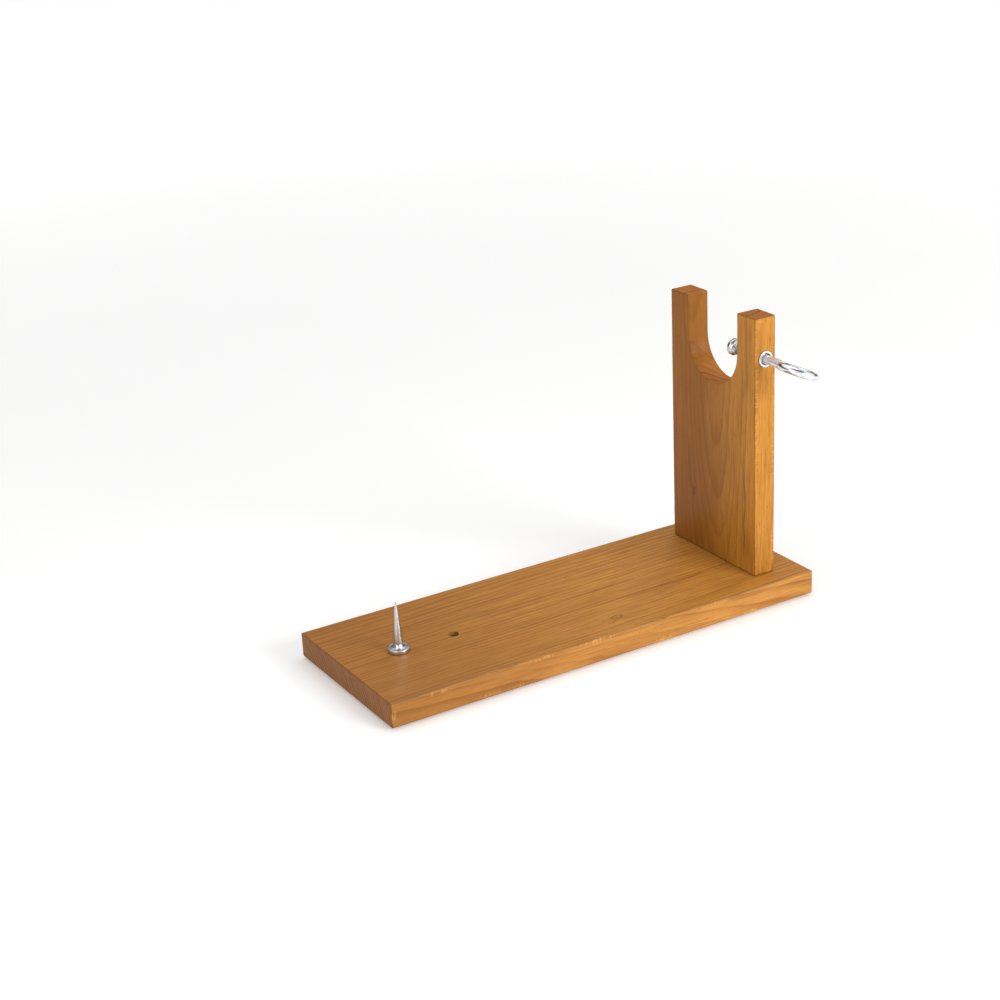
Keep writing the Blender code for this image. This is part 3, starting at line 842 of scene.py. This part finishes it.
def anti_slip_pad(node):
    """Moulded rubber foot: eased rims and shallow grooves in its underside."""
    low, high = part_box(node)
    thick = (high.z - low.z) / MM
    reach = (high.x - low.x) / 2 / MM
    profile = [(thick, 0.5), *rounded(thick, reach - 0.05, 0.15), (thick * 0.5, reach)]
    profile += rounded(0.0, reach, 0.35, upper=False)
    for ring in (6.6, 5.2, 3.8, 2.4):
        profile += [(0.0, ring), (0.22, ring - 0.2), (0.22, ring - 0.6), (0.0, ring - 0.8)]
    profile += [(0.0, 0.9)]
    mesh = grid_mesh(node, turned_rows(profile, steps=48), closed=False)
    mesh.set_sharp_from_angle(angle=TURNED_CREASE)
    mesh.transform(standing_at(low, high, low.z))
    return mesh


# ---------------------------------------------------------------- the stand


def dress(node, material):
    """Give a CAD node its finish."""
    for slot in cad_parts[node].material_slots:
        slot.material = material


base_wood = wood(
    "base_wood",
    grain="x",
    low=base_low,
    high=base_high,
    pith=(150.0, -62.0),
    slope=(0.05, 0.030),
    ring_gap=3.7,
    ring_strength=0.95,
    early=(0.575, 0.250, 0.042),
    late=(0.290, 0.098, 0.010),
    end_tone=(0.290, 0.105, 0.020),
    # The next two lines paint shadow: darker towards the back and towards the left end.
    painted_shadow_back=(60.0, 150.0, 0.30),
    painted_shadow_along=(70.0, -165.0, 0.52),
    knot=(18.5, -31.0, 2.4),
    streak=(-4.0, 36.0, 136.0),
    gloss=0.30,
    seed=3.1,
)
post_wood = wood(
    "post_wood",
    grain="z",
    low=post_low,
    high=post_high,
    pith=(12.0, 118.0),
    slope=(0.02, 0.14),
    ring_gap=5.2,
    ring_strength=0.50,
    early=(0.590, 0.250, 0.036),
    late=(0.262, 0.087, 0.009),
    end_tone=(0.380, 0.135, 0.026),
    # The next two lines paint shadow: darker towards the back and towards the foot.
    painted_shadow_back=(-34.0, 42.0, 0.78),
    painted_shadow_along=(190.0, 30.0, 0.10),
    knot=(71.5, 45.0, 1.3),
    streak=(-22.4, 22.0, 118.0),
    gloss=0.14,
    seed=8.4,
)
insert_zinc = plated("bright_zinc", ZINC, roughness=0.18, brushed=2.0, seed=1.0)
bolt_zinc = plated(
    "bolt_zinc",
    BOLT_ZINC,
    roughness=0.15,
    brushed=2.0,
    seed=2.0,
    satin=(FRONT_Y / MM - 27.0, FRONT_Y / MM - 23.0, 0.15),
)
turned_steel = plated("turned_steel", STEEL, roughness=0.26, brushed=1.1, seed=4.0, axis="z")
cup_steel = plated("cup_steel", STEEL, roughness=0.26, brushed=1.1, seed=6.0)
screw_zinc = plated("yellow_zinc", YELLOW_ZINC, roughness=0.28, brushed=2.0, seed=9.0, axis="z")
black_rubber = rubber("pad_rubber")

dress("base_board", base_wood)
dress("upright_board", post_wood)
for each in ("dowel_1", "dowel_2"):
    dress(each, beech("beech_" + each[-1]))
stand_for("eye_bolt", "eye_bolt_detailed", eye_bolt(), "eye_bolt", bolt_zinc)
stand_for("threaded_insert", "insert_detailed", threaded_insert(), "stand", insert_zinc)
stand_for(
    "pressure_pad", "pressure_pad_detailed", pressure_pad(), "pressure_pad", cup_steel
)
stand_for("ham_spike", "ham_spike_detailed", ham_spike(), "ham_spike", turned_steel)
for each in ("wood_screw_1", "wood_screw_2"):
    stand_for(each, each + "_detailed", wood_screw(each), "stand", screw_zinc)
for each in sorted(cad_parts):
    if each.startswith("anti_slip_pad"):
        stand_for(each, each + "_detailed", anti_slip_pad(each), "stand", black_rubber)

floor()
studio()
camera()
